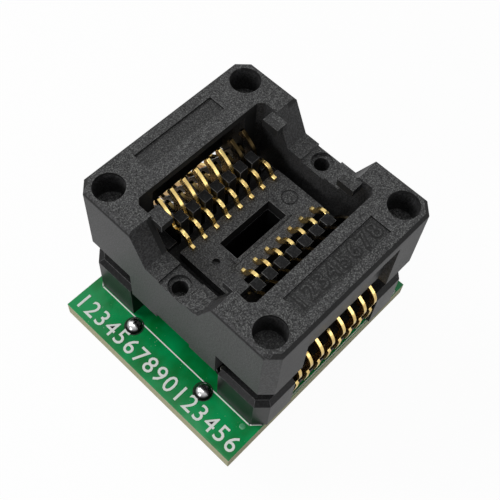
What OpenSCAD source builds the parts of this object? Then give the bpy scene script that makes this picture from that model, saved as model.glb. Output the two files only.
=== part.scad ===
// Open-top test socket for a 16-lead small-outline chip, on a dual-in-line adapter board.
// Millimetres, +Z up. X runs along the contact rows.
// The origin is the centre of the adapter's pin pattern, on the plane that its pin strips stand on.
// Socket modules are drawn about the nest: middle of the rows, at the height of the contact feet.
// A contact is drawn as an outline in [outward, up], outward being the distance from the middle.

/* [Contacts] */
// Distance between neighbouring contacts of a row
pitch = 1.27; // [1.24:0.01:1.29]
// Thickness of the stamped contact strip
contact_t = 0.3; // [0.24:0.01:0.32]
// Distance from the socket's middle to the inner end of a contact foot
foot_y = 1.84; // [1.7:0.02:1.9]
// Length of the flat contact foot
foot_l = 0.46; // [0.4:0.01:0.5]
// Height of the toe of the foot
foot_h = 0.34; // [0.28:0.01:0.4]
// Height of the hooked head above the feet
hook_h = 2.95; // [2.85:0.01:2.97]
// Distance from the levers' outer ends to the cover's outer side
lever_inset = 0.83; // [0.78:0.01:0.9]
// Height of the levers' ends below the feet
lever_depth = 2.1; // [2.1:0.01:2.15]
// Outer radius of the C-shaped spring
c_spring_r = 1.6; // [1.5:0.02:1.64]
// Width of the C-shaped spring
c_spring_w = 0.5; // [0.4:0.01:0.52]
// Height of the middle of the C above the board
c_spring_rise = 4.6; // [4.5:0.02:4.7]

/* [Cover] */
// Length of the cover along the contact rows
cover_l = 17.3; // [17.2:0.1:17.6]
// Width of the cover across the contact rows
cover_w = 19.46; // [19.4:0.02:19.6]
// Height of the cover's top face above the contact feet
cover_top = 4.7; // [4.7:0.02:4.9]
// Depth of the corner columns' lower ends below the contact feet
column_depth = 2.3; // [2.1:0.05:2.4]
// Plan chamfer on the corners of cover and base
corner_chamfer = 0.9; // [0.6:0.05:1.1]
// Bevel along the cover's top edge
top_bevel = 0.25; // [0.1:0.01:0.3]
// Length of the chip opening
opening_l = 13; // [12.9:0.05:13.1]
// Width of the chip opening
opening_w = 11.5; // [11.4:0.02:11.6]
// Chamfer in the corners of the chip opening
opening_chamfer = 0.4; // [0.2:0.05:0.5]
// Depth of the rails' outer edges
rail_t = 1.4; // [1.2:0.05:1.5]
// Thickness of the rails over the contact heads
rail_skin = 0.7; // [0.6:0.02:0.7]
// Distance from the end contacts to the ends of the window in each side wall
window_gap = 0.2; // [0.16:0.01:0.24]
// Diameter of the four blind holes in the top
top_hole_d = 2.48; // [2:0.02:2.6]
// Depth of the four blind holes
top_hole_depth = 2.5; // [1.5:0.1:2.7]
// Distance between the blind holes along the rows
top_hole_dx = 14; // [13.8:0.05:14.2]
// Distance between the blind holes across the rows
top_hole_dy = 15.8; // [15.6:0.05:16]
// Height of the saddle floor above the contact feet
saddle_floor = 1.5; // [1.3:0.05:1.7]
// Width of the saddle at its floor
saddle_w = 5.2; // [4.8:0.1:5.4]
// Width of the saddle at the top face
saddle_top_w = 8.2; // [7.8:0.1:8.6]
// Depth of the channel in the saddle floor
channel_depth = 0.27; // [0.15:0.01:0.4]
// Width of the channel in the saddle floor
channel_w = 2.4; // [2.2:0.1:2.8]
// Diameter of the small hole in each saddle
saddle_hole_d = 1.25; // [1:0.05:1.4]
// Distance between the two saddle holes
saddle_hole_dx = 15.4; // [15.2:0.05:15.5]
// Depth of the end tongues below the contact feet
tongue_depth = 5.4; // [5.2:0.05:5.5]
// Full stroke of the cover
stroke = 2.2; // [2:0.05:2.2]

/* [Base] */
// Height of the contact feet above the board
nest_height = 9.7; // [9.6:0.05:10]
// Depth of the corner blocks' tops below the contact feet
block_depth = 5.2; // [5:0.05:5.4]
// Distance from the middle to the posts' inner faces
post_y = 3.5; // [3.46:0.01:3.52]
// Width of the posts across the row
post_w = 0.92; // [0.88:0.01:0.94]
// Height of the posts above the contact feet
post_top = 1.65; // [1.4:0.05:1.7]
// Width of the comb slots between the posts
comb_slot = 0.42; // [0.38:0.01:0.46]
// Diameter of the rib that the contacts rock on
rib_d = 0.6; // [0.5:0.02:0.62]
// Distance from the middle to that rib
rib_y = 4.2; // [4.18:0.01:4.22]
// Depth of that rib below the contact feet
rib_depth = 1.8; // [1.78:0.01:1.82]
// Length of the hole in the nest
nest_hole_l = 5.4; // [5:0.1:6]
// Width of the hole in the nest
nest_hole_w = 1.85; // [1.6:0.05:2]
// Height of the pad round that hole, which carries the chip's body
nest_pad_h = 0.06; // [0.04:0.01:0.1]

/* [Return springs] */
// Distance between the coil springs along the rows
coil_dx = 12.8; // [12.6:0.05:13]
// Distance between the coil springs across the rows
coil_dy = 14.4; // [14.3:0.05:14.6]
// Outer diameter of a coil spring
coil_d = 1.9; // [1.6:0.05:1.96]
// Wire of a coil spring
coil_wire = 0.3; // [0.2:0.02:0.34]
// Turns of a coil spring
coil_turns = 7; // [5:1:9]

/* [Board and pins] */
// Length of the board
board_l = 21.7; // [21.5:0.1:22.5]
// Distance from the board's long edges in to the cover's sides above them
board_inset = 0.28; // [0.2:0.02:0.3]
// Thickness of the board
board_t = 1.6; // [1.4:0.1:2]
// Board beyond the last pin, at the end away from the label strip
board_margin = 1.35; // [1.3:0.05:1.5]
// Distance from the middle of the pins to the middle of the nest
nest_shift = 0.46; // [0.3:0.02:0.6]
// Distance between the pins of a row
pin_pitch = 2.54; // [2.5:0.01:2.54]
// Distance between the two rows of pins
pin_rows = 7.62; // [7.4:0.02:7.8]
// Diameter of the turned pins
pin_d = 0.5; // [0.44:0.02:0.56]
// Length of the pins below the strips
pin_l = 3.2; // [2.8:0.1:4]
// Diameter of the pins' collars inside the strips
pin_collar_d = 1.3; // [1.1:0.05:1.5]
// Height of the pin strips
strip_h = 2.8; // [2.6:0.1:3.2]
// Width of the pin strips
strip_w = 2.5; // [2.3:0.05:2.54]

/* [Hidden] */

$fn = 48;
row_count = 8;
pin_count = 8;
cut = 0.02;             // overshoot of a cut past the face that it opens
seat = 0.03;            // clearance of a contact on the plastic that carries it
board_top = strip_h + board_t;
board_w = cover_w - 2 * board_inset;
board_x0 = (pin_count - 1) * pin_pitch / 2 + board_margin - board_l;
wall_x = opening_l / 2; // inner face of the cover's end walls
edge_y = opening_w / 2; // inner edge of a rail
cover_y = cover_w / 2;
window_l = (row_count - 1) * pitch + contact_t + 2 * window_gap;
cam_in = cover_y - 1.63; // the cam wall that presses the levers
cam_out = cover_y - 0.73;
cam_bottom = 0.05 - lever_depth;
lever_y = cover_y - lever_inset;
tower_x = wall_x - 0.6; // end face of the tower between the end walls
ledge_x = wall_x - 0.15;
rib = [rib_y, -rib_depth];
locator_t = 0.7;
locator_gap = 0.5;      // from the board to the locator plate
floor_bottom = locator_t + locator_gap - nest_height;
floor_top = floor_bottom + 1.1;
floor_y = cover_y - 0.93;
slot_floor = -2.2;      // bottom of the comb slots
trench_floor = -1.2;    // bottom of the trench between nest and posts
nest_y = 2.46;          // half width of the nest plate
plate_in = cover_y - 1.68; // inner edge of a contact's plate
plate_out = cover_y - 0.35;
tail_y = cover_y - 0.91;
tail_w = 0.44;
tail_l = 0.8;           // length of a tail below the board
bead_d = 1.5;           // solder beads on the two open end pins
bead_lean = 0.25;
pin_proud = 0.15;           // end of a pin above the board's face
bead_sink = 0.15;           // centre of a full bead under the board's face
ring_w = 0.65;              // radius of the flat solder ring round a pin
ring_h = 0.14;
tail_bead_d = 1.16;
tail_bead_sink = 0.2;
spring_foot = floor_top + 0.8; // where a C-shaped spring grows out of its plate
block_x = 4.9;          // inner faces of the corner blocks
block_y = 4.9;
coil_bore = coil_d + 0.26;
coil_bottom = floor_bottom + 0.3;
coil_top = 1.1;
tip_rounding = 0.2;

function contact_x(k) = (k - (row_count + 1) / 2) * pitch;
function pin_x(k) = (k - (pin_count + 1) / 2) * pin_pitch;
function polar(c, r, a) = c + r * [cos(a), sin(a)];
function arc(c, r, a0, a1, n = 8) = [for (i = [0:n]) polar(c, r, a0 + (a1 - a0) * i / n)];

// ---- Contacts ----
// The C: an arc about c_centre, and a limb that leaves it along a tangent toward limb_root.
c_centre = [cover_y - 0.1 - c_spring_r, c_spring_rise - nest_height];
c_mid_r = c_spring_r - c_spring_w / 2;
limb_root = [5.4, -1.3];
c_to_root = limb_root - c_centre;
c_top = atan2(c_to_root.y, c_to_root.x) - acos(c_mid_r / norm(c_to_root));
limb_way = [-sin(c_top), cos(c_top)];
split = 0.5;            // how far along the limb the head begins
c_low = -14;

function limb(r, s) = polar(c_centre, r, c_top) + s * limb_way;

module strip(outline) rotate([90, 0, 90]) linear_extrude(contact_t, center = true) polygon(outline);

module side(left) mirror([0, left ? 0 : 1, 0]) children();

module at_nest() translate([nest_shift, 0, board_top + nest_height]) children();

module at_contact(k, left) at_nest() side(left) translate([contact_x(k), 0, 0]) children();

module head_outline() {
    inner_r = c_spring_r - c_spring_w;
    slot_in = post_y + 0.1;     // edge of the leg inside the comb slot
    pad = -lever_depth;
    polygon(concat(
        // foot, and the underside of the finger that rises from it
        [[foot_y, 0], [foot_y + foot_l, 0], [2.54, 0.36], [2.84, 0.68]],
        [[3.16, 0.8], [3.43, 0.64], [slot_in, 0.2]],
        // the leg inside the comb slot
        [[slot_in, pad + 0.32], [rib.x + 0.72, pad + 0.32]],
        // limb: under edge outward, split, upper edge back
        [[5.0, -1.5], limb(inner_r, 4.3), limb(inner_r, split)],
        [limb(c_spring_r, split), limb(c_spring_r, 4.1)],
        // lever: lower edge, pad, upper edge
        [[5.55, -0.35], [lever_y - 1.3, pad - 0.3], [lever_y - 0.9, pad - 0.46]],
        [[lever_y - 0.1, pad - 0.42], [lever_y, pad - 0.3], [lever_y, pad - 0.05], [lever_y - 0.1, pad]],
        [[lever_y - 0.9, pad - 0.12], [lever_y - 1.1, pad - 0.02], [6.3, 0.25]],
        // notch under the hook, with the outer edge of the leg at its bottom
        arc([5.95, 0.3], 0.35, 0, 110, 4), [[5.1, 0.3], [5.12, 0.75], [5.3, 1.75]],
        // hooked head
        [[5.62, 2.15], [5.86, 2.2], [5.9, 2.4]],
        arc([5.6, hook_h - tip_rounding], tip_rounding, 10, 110, 4),
        // top of the arm, down into the comb slot
        [[4.95, 2.52], [4.5, 2.08], [4.16, 1.68], [4.02, 1.1], [3.86, 0.94]],
        // top of the finger, down to the toe
        [[3.66, 1.02], [3.44, 1.24], [3.05, 1.27], [2.7, 1.16], [2.4, 0.84]],
        [[2.2, foot_h + 0.06], [2.1, foot_h], [foot_y, foot_h]]));
}

module head(k, left) color("goldenrod") at_contact(k, left) difference() {
    rotate([90, 0, 90]) linear_extrude(contact_t, center = true) head_outline();
    translate([0, rib.x, rib.y]) rotate([0, 90, 0]) cylinder(h = 1, d = rib_d + 2 * seat, center = true);
}

module c_spring() {
    w = c_spring_w;
    outer = arc(c_centre, c_spring_r, c_low, c_top, 10);
    inner = arc(c_centre, c_spring_r - w, c_top, c_low, 8);
    end = [plate_out, spring_foot];
    strip(concat([[end.x - w, end.y], end], outer,
        [limb(c_spring_r, split), limb(c_spring_r - w, split)], inner));
}

module contact_plate() {
    toe = spring_foot - 0.2;
    tail = [tail_y - tail_w / 2, tail_y + tail_w / 2];
    tail_end = -nest_height - board_t - tail_l;
    strip([
        [plate_out, spring_foot], [plate_out - c_spring_w, spring_foot], [plate_out - 0.6, toe],
        [plate_in + 0.2, toe], [plate_in, toe - 0.2], [plate_in, floor_bottom], [tail[0], floor_bottom],
        [tail[0], tail_end], [tail[1], tail_end],
        [tail[1], floor_bottom], [plate_out + 0.02, floor_bottom],
        [plate_out + 0.14, floor_bottom + 0.85], [plate_out + 0.18, toe]]);
}

module contact(k, left) color("goldenrod") at_contact(k, left) contact_plate();

module contact_springs(left) color("gold") for (k = [1:row_count]) at_contact(k, left) c_spring();

// ---- Cover ----
function octagon(lx, ly, c) = [
    [lx - c, -ly], [lx, c - ly], [lx, ly - c], [lx - c, ly],
    [c - lx, ly], [-lx, ly - c], [-lx, c - ly], [c - lx, -ly]];

module corners(dx, dy) for (sx = [-1, 1], sy = [-1, 1])
    translate([sx * dx / 2, sy * dy / 2, 0]) children();

module ends() for (s = [0, 1]) mirror([s, 0, 0]) children();

module block(x0, x1, y0, y1, z0, z1) translate([x0, y0, z0]) cube([x1 - x0, y1 - y0, z1 - z0]);

module cover_blank() hull() {
    lx = cover_l / 2;
    ly = cover_w / 2;
    translate([0, 0, -tongue_depth])
        linear_extrude(cover_top - top_bevel + tongue_depth) polygon(octagon(lx, ly, corner_chamfer));
    translate([0, 0, cover_top - cut])
        linear_extrude(cut)
            polygon(octagon(lx - top_bevel, ly - top_bevel, corner_chamfer - top_bevel / 3));
}

module saddle_cut() {
    rise = cover_top - saddle_floor;
    slope = (saddle_top_w - saddle_w) / 2 / rise;
    top = saddle_top_w / 2 + slope * cut;
    rotate([90, 0, 90]) linear_extrude(cover_l + 1, center = true) polygon([
        [-top, cover_top + cut], [-saddle_w / 2, saddle_floor],
        [saddle_w / 2, saddle_floor], [top, cover_top + cut]]);
}

module rail_undercut() {
    deep = 12;
    // space of the contact heads, under the thin part of the rail
    block(-window_l / 2, window_l / 2, -cut, cam_in, -deep, cover_top - rail_skin);
    // window outside the cam wall
    block(-window_l / 2, window_l / 2, cam_out, cover_w, -deep, cover_top - rail_t);
    // below the cam wall
    block(-window_l / 2, window_l / 2, -cut, cover_w, -deep, cam_bottom);
}

module cover() color("#26272a") at_nest() {
    skirt_y = 4.6;      // half width of the tongues
    bore_top = cover_top + cut;
    difference() {
        cover_blank();
        translate([0, 0, -nest_height])
            linear_extrude(2 * nest_height) polygon(octagon(wall_x, edge_y, opening_chamfer));
        saddle_cut();
        for (left = [true, false]) side(left) {
            rail_undercut();
            // corner columns end above the base
            block(-cover_l, cover_l, skirt_y, cover_w, -9, -column_depth);
        }
        // the middle of each tongue is a little shorter
        block(-cover_l, cover_l, -1.8, 1.8, -9, -tongue_depth + 0.5);
        block(-cover_l, cover_l, -channel_w / 2, channel_w / 2,
            saddle_floor - channel_depth, saddle_floor + 1);
        corners(top_hole_dx, top_hole_dy)
            translate([0, 0, cover_top - top_hole_depth])
                cylinder(h = top_hole_depth + cut, d = top_hole_d);
        corners(coil_dx, coil_dy)
            translate([0, 0, -column_depth - cut])
                cylinder(h = coil_top + column_depth + cut, d = coil_bore);
        corners(saddle_hole_dx, 0) translate([0, 0, -1]) cylinder(h = bore_top + 1, d = saddle_hole_d);
        corners(saddle_hole_dx, 0) translate([0, 0, saddle_floor - channel_depth - 0.4])
            cylinder(h = 1, d = saddle_hole_d + 0.55);
        // shallow bare fields where the rails would be marked
        block(-4.65, 4.65, -8.67, -6.8, cover_top - 0.2, bore_top);
        block(-3.9, 3.9, 7.1, 8.66, cover_top - 0.2, bore_top);
    }
    ends() for (left = [true, false]) side(left) {
        // guide tab at the corner of the opening
        block(wall_x - 1.1, wall_x + cut, 3, 4.5, 3.7, cover_top - 0.25);
        // latch hook on the tongue
        block(wall_x - 0.5, wall_x + cut, 2.2, 3.4, -5, -4.4);
    }
}

// ---- Base ----
module posts() {
    post_l = pitch - comb_slot;
    for (k = [1:row_count - 1])
        block(contact_x(k) + comb_slot / 2, contact_x(k) + comb_slot / 2 + post_l, post_y, post_y + post_w,
            slot_floor - 0.5, post_top);
    ends() block(contact_x(row_count) + comb_slot / 2, tower_x - 0.35,
        post_y, post_y + 1.6, slot_floor - 0.5, -0.6);
}

module base_half() {
    reach = post_y + post_w;
    block(-tower_x, tower_x, -cut, reach, floor_bottom, slot_floor);
    // inner wall of the comb, up to the trench
    block(-tower_x, tower_x, -cut, post_y, slot_floor - cut, trench_floor);
    posts();
    // rib that the contacts rock on
    translate([0, rib.x, rib.y]) rotate([0, 90, 0])
        cylinder(h = 2 * contact_x(row_count) + 1, d = rib_d, center = true);
    block(-contact_x(row_count) - 0.5, contact_x(row_count) + 0.5,
        rib.x - 0.2, reach, slot_floor - cut, rib.y);
    block(-block_x - 0.1, block_x + 0.1, reach - cut, floor_y, floor_bottom, floor_top);
}

module corner_block() {
    lx = cover_l / 2 - 0.05;
    ly = cover_w / 2 - 0.15;
    bevel = 0.4;
    intersection() {
        hull() {
            translate([0, 0, -nest_height]) linear_extrude(nest_height - block_depth - bevel)
                polygon(octagon(lx, ly, corner_chamfer));
            translate([0, 0, -block_depth - cut]) linear_extrude(cut)
                polygon(octagon(lx - bevel, ly - bevel, corner_chamfer - bevel / 3));
        }
        ends() block(block_x, lx + 1, block_y, ly + 1, -nest_height, -block_depth);
    }
}

module base() color("#17181a") at_nest() difference() {
    union() {
        for (left = [true, false]) side(left) {
            base_half();
            corner_block();
            // rib between tower and block
            ends() block(block_x, tower_x, post_y, block_y + cut, floor_bottom, -block_depth);
        }
        // latch ledge on each end of the tower
        ends() block(tower_x - cut, ledge_x, -3.8, 3.8, -4.3, -3.6);
    }
    block(-nest_hole_l / 2, nest_hole_l / 2, -nest_hole_w / 2, nest_hole_w / 2, -nest_height, 1);
    for (left = [true, false], k = [1:row_count]) side(left)
        block(contact_x(k) - contact_t / 2 - seat, contact_x(k) + contact_t / 2 + seat,
            plate_in - seat, floor_y + cut, floor_bottom - cut, floor_top + cut);
    corners(coil_dx, coil_dy) translate([0, 0, coil_bottom]) cylinder(h = nest_height, d = coil_bore);
}

module nest_plate() color("#202124") at_nest() difference() {
    top = -seat;
    plate_x = 5.35;
    pad_x = nest_hole_l / 2 + 0.35;
    pad_y = nest_hole_w / 2 + 0.32;
    union() {
        block(-plate_x, plate_x, -nest_y, nest_y, trench_floor, top);
        block(-pad_x, pad_x, -pad_y, pad_y, top - cut, top + nest_pad_h);
    }
    block(-nest_hole_l / 2, nest_hole_l / 2, -nest_hole_w / 2, nest_hole_w / 2, -3, 1);
    // pin 1 mark and the mark of the moulding's ejector
    translate([-4, 0, top - 0.4]) cylinder(h = 1, d = 0.6);
    translate([4.1, 0, top - 0.08]) difference() {
        cylinder(h = 1, d = 1.4);
        translate([0, 0, -cut]) cylinder(h = 2, d = 1.1);
    }
}

module locator_plate() color("#1b1c1e") at_nest() difference() {
    top = floor_bottom;
    end = contact_x(row_count) + 0.36;
    side = tail_y + 0.38;
    block(-end, end, -side, side, top - locator_t, top);
    for (left = [true, false], k = [1:row_count]) side(left)
        translate([contact_x(k), tail_y, top])
            cube([contact_t + 2 * seat, tail_w + 2 * seat, 3], center = true);
}

// ---- Return springs ----
function coil_point(i, n) = let (a = 360 * coil_turns * i / n)
    [(coil_d - coil_wire) / 2 * cos(a), (coil_d - coil_wire) / 2 * sin(a),
     coil_bottom + coil_wire / 2 + seat + (coil_top - coil_bottom - coil_wire - 2 * seat) * i / n];

module coil() {
    per_turn = 14;
    n = coil_turns * per_turn;
    sides = 6;
    rise = atan((coil_top - coil_bottom) / (coil_turns * PI * (coil_d - coil_wire)));
    ring = [for (i = [0:n], j = [0:sides - 1]) let (
        a = 360 * i / per_turn, b = 360 * j / sides, c = coil_point(i, n), out = [cos(a), sin(a), 0],
        up = [-sin(a) * sin(-rise), cos(a) * sin(-rise), cos(rise)])
        c + coil_wire / 2 * (cos(b) * out + sin(b) * up)];
    skin = [for (i = [0:n - 1], j = [0:sides - 1]) let (j2 = (j + 1) % sides)
        [i * sides + j, i * sides + j2, (i + 1) * sides + j2, (i + 1) * sides + j]];
    caps = [[for (j = [sides - 1:-1:0]) j], [for (j = [0:sides - 1]) n * sides + j]];
    polyhedron(ring, concat(skin, caps));
}

module return_spring(sx, sy) color("silver") at_nest()
    translate([sx * coil_dx / 2, sy * coil_dy / 2, 0]) coil();

// ---- Board and pins ----
module board() color("#1d7a4a") difference() {
    translate([board_x0, -board_w / 2, strip_h]) cube([board_l, board_w, board_t]);
    for (k = [1:pin_count], s = [-1, 1])
        translate([pin_x(k), s * pin_rows / 2, strip_h - 1]) cylinder(h = 4, d = pin_d + 0.3);
    for (k = [1:row_count], s = [-1, 1])
        translate([nest_shift + contact_x(k), s * tail_y, strip_h - 1]) cylinder(h = 4, d = 0.62);
}

module pin_strip(s) color("#151515") translate([0, s * pin_rows / 2, 0]) difference() {
    nick = 0.35;
    half = strip_w / 2;
    linear_extrude(strip_h - cut) union() for (k = [1:pin_count]) translate([pin_x(k), 0])
        polygon([[-pin_pitch / 2, half - nick], [nick - pin_pitch / 2, half], [pin_pitch / 2 - nick, half],
            [pin_pitch / 2, half - nick], [pin_pitch / 2, nick - half], [pin_pitch / 2 - nick, -half],
            [nick - pin_pitch / 2, -half], [-pin_pitch / 2, nick - half]]);
    for (k = [1:pin_count]) translate([pin_x(k), 0, -1])
        cylinder(h = strip_h + 2, d = pin_collar_d + 2 * cut);
}

module pin() {
    r = pin_d / 2;
    c = pin_collar_d / 2;
    top = board_top + pin_proud;
    rotate_extrude() polygon([
        [0, -pin_l], [r - 0.1, -pin_l], [r, -pin_l + 0.15], [r, -0.25],
        [c - 0.25, -0.25], [c - 0.25, 0.1], [c, 0.1], [c, strip_h - 0.1],
        [r, strip_h - 0.1], [r, top - 0.05], [r - 0.05, top], [0, top]]);
}

module pins(s) color("silver") for (k = [1:pin_count]) translate([pin_x(k), s * pin_rows / 2, 0]) pin();

// A ring of solder round a wire of radius r; the open end pins carry a full bead.
module solder_ring(r, w, h) rotate_extrude()
    polygon(concat([[r, 0]],
        [for (a = [0:15:90]) [r + cut + (w - r - cut) * cos(a), h * sin(a)]], [[r, h]]));

module pin_solder() color("silver") for (k = [1:pin_count], s = [-1, 1])
    translate([pin_x(k), s * pin_rows / 2, board_top])
        if (k == 1) difference() {
            intersection() {
                translate([0, s * bead_lean, -bead_sink]) sphere(d = bead_d);
                cylinder(h = 2 * bead_d, d = 2 * bead_d);
            }
            translate([0, 0, -1]) cylinder(h = 1 + pin_proud + cut, d = pin_d + cut);
        }
        else solder_ring(pin_d / 2 + cut / 2, ring_w, ring_h);

module tail_solder() color("silver") for (k = [1:row_count], s = [-1, 1])
    translate([nest_shift + contact_x(k), s * tail_y, strip_h]) difference() {
        rotate([180, 0, 0]) intersection() {
            translate([0, 0, -tail_bead_sink]) sphere(d = tail_bead_d);
            cylinder(h = 2 * tail_bead_d, d = 2 * tail_bead_d);
        }
        cube([contact_t + cut, tail_w + cut, 3], center = true);
    }

board();
locator_plate();
base();
nest_plate();
cover();
return_spring(-1, -1);  // return_spring_1
return_spring(-1, 1);  // return_spring_2
return_spring(1, -1);  // return_spring_3
return_spring(1, 1);  // return_spring_4
pin_strip(1);  // pin_strip_left
pin_strip(-1);  // pin_strip_right
pins(1);  // pins_left
pins(-1);  // pins_right
pin_solder();
tail_solder();
contact_springs(true);  // contact_springs_left
contact_springs(false);  // contact_springs_right
for (k = [1:row_count]) contact(k, true);
for (k = [1:row_count]) contact(k, false);
for (k = [1:row_count]) head(k, true);
for (k = [1:row_count]) head(k, false);
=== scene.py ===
"""Looks of an open-top chip test socket on its dual-in-line adapter board.

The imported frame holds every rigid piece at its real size. This script turns the pieces that are
seen into finished meshes, joins each stamped contact to one piece, winds the return springs, adds
the board's legend and the rail's numbers, and sets up a plain studio. All lengths are in metres,
in the frame's own axes.
"""

import logging
import math
from dataclasses import dataclass, replace
from enum import Enum
from typing import Any, Iterable, Optional, Sequence, Union

import bmesh
import bpy
from mathutils import Matrix, Vector


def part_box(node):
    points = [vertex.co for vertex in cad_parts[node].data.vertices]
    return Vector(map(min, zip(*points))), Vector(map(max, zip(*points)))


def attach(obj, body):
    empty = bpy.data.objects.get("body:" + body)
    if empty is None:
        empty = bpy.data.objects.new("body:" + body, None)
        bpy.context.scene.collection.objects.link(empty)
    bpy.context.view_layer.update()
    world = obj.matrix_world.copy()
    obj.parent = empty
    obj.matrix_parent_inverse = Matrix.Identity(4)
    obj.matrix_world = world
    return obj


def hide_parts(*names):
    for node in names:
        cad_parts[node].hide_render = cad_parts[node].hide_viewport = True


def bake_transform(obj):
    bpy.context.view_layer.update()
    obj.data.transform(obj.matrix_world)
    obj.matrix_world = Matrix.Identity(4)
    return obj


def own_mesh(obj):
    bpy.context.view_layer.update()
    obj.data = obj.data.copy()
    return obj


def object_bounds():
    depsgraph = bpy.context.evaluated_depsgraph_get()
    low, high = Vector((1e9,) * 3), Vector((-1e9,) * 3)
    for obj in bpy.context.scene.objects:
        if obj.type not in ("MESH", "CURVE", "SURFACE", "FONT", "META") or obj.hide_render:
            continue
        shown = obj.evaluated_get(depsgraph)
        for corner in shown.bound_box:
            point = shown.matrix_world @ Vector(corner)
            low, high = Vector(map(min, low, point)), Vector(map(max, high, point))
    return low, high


LOG = logging.getLogger("socket")
MM = 0.001

# Height part of a normal: from FLAT up a face is quite flat, from LEVEL up it counts as level,
# and below STEEP it counts as a wall.
FLAT = 0.985
LEVEL = 0.9
STEEP = 0.5

Pair = tuple[float, float]
Colour = tuple[float, float, float]

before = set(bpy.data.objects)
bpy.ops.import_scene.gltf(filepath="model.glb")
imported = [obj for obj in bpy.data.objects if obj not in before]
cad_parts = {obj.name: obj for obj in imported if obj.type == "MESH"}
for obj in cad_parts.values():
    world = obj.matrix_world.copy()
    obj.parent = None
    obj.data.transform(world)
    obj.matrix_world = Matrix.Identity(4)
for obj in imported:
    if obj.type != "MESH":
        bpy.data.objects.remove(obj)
CAD_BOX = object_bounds()


class Body(Enum):
    """Rigid bodies that a piece can ride on."""

    ADAPTER = "adapter"
    COVER = "cover"
    HEADS_LEFT = "heads_left"
    HEADS_RIGHT = "heads_right"


class Side(Enum):
    """The two contact rows, by the sign of their Y."""

    LEFT = 1
    RIGHT = -1

    @property
    def word(self) -> str:
        """Name of the row as the node names have it."""
        return self.name.lower()

    @property
    def heads(self) -> Body:
        """Body of this row's rocking heads."""
        return Body.HEADS_LEFT if self is Side.LEFT else Body.HEADS_RIGHT


# ---------------------------------------------------------------------------------------------
# Shader maths


class Value:
    """A shader socket that can be used in Python expressions."""

    def __init__(self, graph: "Graph", socket: Any) -> None:
        """Wraps an output socket of a graph."""
        self.graph = graph
        self.socket = socket

    def _math(self, operation: str, *values: Any, clamp: bool = False) -> "Value":
        """Adds a Math node; with clamp, its result is kept between 0 and 1."""
        settings = {"operation": operation, "use_clamp": clamp}
        return self.graph.node("ShaderNodeMath", settings, *values)

    def __add__(self, other: Any) -> "Value":
        """Sum."""
        return self._math("ADD", self, other)

    __radd__ = __add__

    def __sub__(self, other: Any) -> "Value":
        """Difference."""
        return self._math("SUBTRACT", self, other)

    def __rsub__(self, other: Any) -> "Value":
        """Difference, reflected."""
        return self._math("SUBTRACT", other, self)

    def __mul__(self, other: Any) -> "Value":
        """Product."""
        return self._math("MULTIPLY", self, other)

    __rmul__ = __mul__

    def __gt__(self, other: Any) -> "Value":
        """One where this is the larger, zero elsewhere."""
        return self._math("GREATER_THAN", self, other)

    def __lt__(self, other: Any) -> "Value":
        """One where this is the smaller, zero elsewhere."""
        return self._math("LESS_THAN", self, other)

    def size(self) -> "Value":
        """The value without its sign."""
        return self._math("ABSOLUTE", self)

    def clamped(self) -> "Value":
        """The value kept between 0 and 1."""
        return self._math("ADD", self, 0.0, clamp=True)

    def smooth(self, low: float, high: float) -> "Value":
        """Smooth step from 0 at low to 1 at high, which may be the smaller one."""
        settings = {"interpolation_type": "SMOOTHSTEP"}
        return self.graph.node("ShaderNodeMapRange", settings, self, low, high, 0.0, 1.0)


Input = Union[Value, float, Sequence[float]]


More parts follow.
